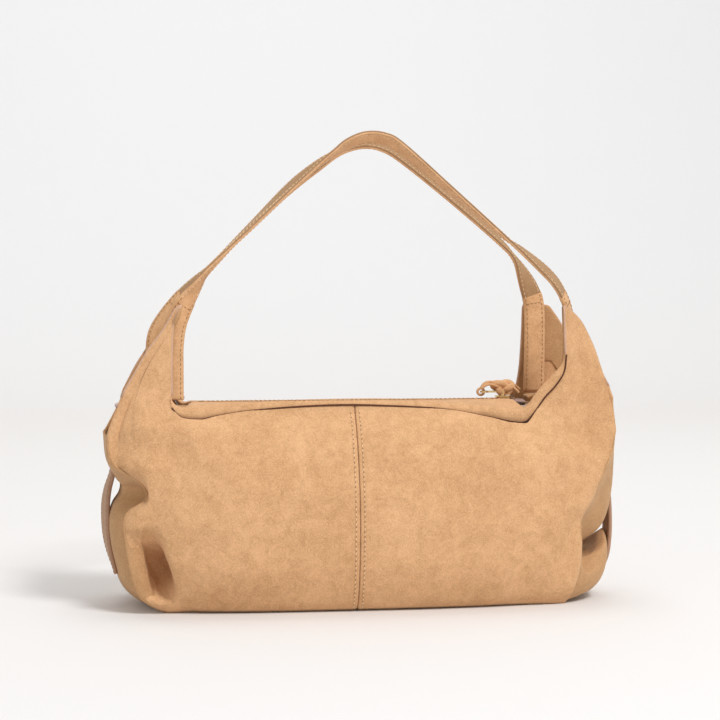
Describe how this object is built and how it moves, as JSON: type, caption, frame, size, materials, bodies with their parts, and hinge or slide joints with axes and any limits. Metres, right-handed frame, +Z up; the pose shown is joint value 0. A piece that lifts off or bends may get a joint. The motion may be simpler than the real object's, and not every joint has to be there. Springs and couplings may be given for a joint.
{
  "type": "hobo bag",
  "caption": "Slouchy suede shoulder bag with a zipped mouth, pointed ears, cinched ends and twin straps.",
  "frame": {"origin": "middle of the flat base, on the floor", "axes": "+X along the bag to the viewer's right, -Y out of the front, +Z up"},
  "size_m": [0.4168, 0.1494, 0.3825],
  "materials": {
    "suede": "napped suede",
    "suede_back": "napped suede, inner side",
    "lining_cloth": "plain woven cotton",
    "zip_tape": "woven tape",
    "gold_metal": "polished pale gold",
    "base_board": "flexible board"
  },
  "bodies": {
    "bag": {"front_panel_left": "suede", "front_panel_right": "suede", "back_panel_left": "suede", "back_panel_right": "suede", "end_gusset_left": "suede", "end_gusset_right": "suede", "end_band_left": "suede", "end_band_right": "suede", "mouth_end_left": "suede", "mouth_end_right": "suede", "base_panel": "suede", "base_board": "base_board", "ear_facing_front_left": "suede", "ear_facing_front_right": "suede", "ear_facing_back_left": "suede", "ear_facing_back_right": "suede", "strap_anchor_front_left": "suede", "strap_anchor_front_right": "suede", "strap_anchor_back_left": "suede", "strap_anchor_back_right": "suede", "zip_end_tab_left": "suede", "zip_end_tab_right": "suede", "zip_bottom_stop": "gold_metal", "lining_front": "lining_cloth", "lining_back": "lining_cloth", "lining_base": "lining_cloth", "inner_pocket": "lining_cloth", "plain_patch": "suede"},
    "mouth_front": {"rim_facing_front": "suede", "zip_tape_front": "zip_tape", "zip_teeth_front": "gold_metal"},
    "mouth_back": {"rim_facing_back": "suede", "zip_tape_back": "zip_tape", "zip_teeth_back": "gold_metal"},
    "slider": {"zip_slider": "gold_metal"},
    "pull_tab": {"zip_pull_tab": "gold_metal"},
    "pull_knot": {"zip_pull_knot": "suede"},
    "strap_front": {"strap_front_outer": "suede", "strap_front_inner": "suede_back", "strap_feet_front": "suede"},
    "strap_back": {"strap_back_outer": "suede", "strap_back_inner": "suede_back", "strap_feet_back": "suede"}
  },
  "joints": [
    {"name": "zip_slide", "type": "slide", "parent": "bag", "child": "slider", "axis": [1, 0, 0], "range_m": [-0.237, 0]},
    {"name": "mouth_front_turn", "type": "hinge", "parent": "bag", "child": "mouth_front", "pos_m": [0, -0.0375, 0.1632], "axis": [1, 0, 0], "range_deg": [0, 80], "deforming": ["zip_tape_front", "zip_teeth_front"]},
    {"name": "mouth_back_turn", "type": "hinge", "parent": "bag", "child": "mouth_back", "pos_m": [0, 0.0375, 0.1632], "axis": [-1, 0, 0], "range_deg": [0, 80], "deforming": ["zip_tape_back", "zip_teeth_back"]},
    {"name": "pull_tab_lift", "type": "hinge", "parent": "slider", "child": "pull_tab", "pos_m": [0.117, 0, 0.1679], "axis": [0, 1, 0], "range_deg": [0, 46]},
    {"name": "pull_knot_swing", "type": "hinge", "parent": "pull_tab", "child": "pull_knot", "pos_m": [0.09967, 0, 0.1679], "axis": [0, -1, 0], "range_deg": [0, 150]},
    {"name": "strap_front_swing", "type": "hinge", "parent": "bag", "child": "strap_front", "pos_m": [0, -0.0337, 0.2505], "axis": [1, 0, 0], "range_deg": [0, 95]},
    {"name": "strap_back_swing", "type": "hinge", "parent": "bag", "child": "strap_back", "pos_m": [0, 0.0337, 0.2505], "axis": [-1, 0, 0], "range_deg": [0, 95]}
  ],
  "couplings": [
    {"joint": "mouth_front_turn", "follows": "zip_slide", "rad_per_m": -5.891},
    {"joint": "mouth_back_turn", "follows": "zip_slide", "rad_per_m": -5.891},
    {"joint": "pull_tab_lift", "follows": "pull_knot_swing", "ratio": 0.3}
  ]
}
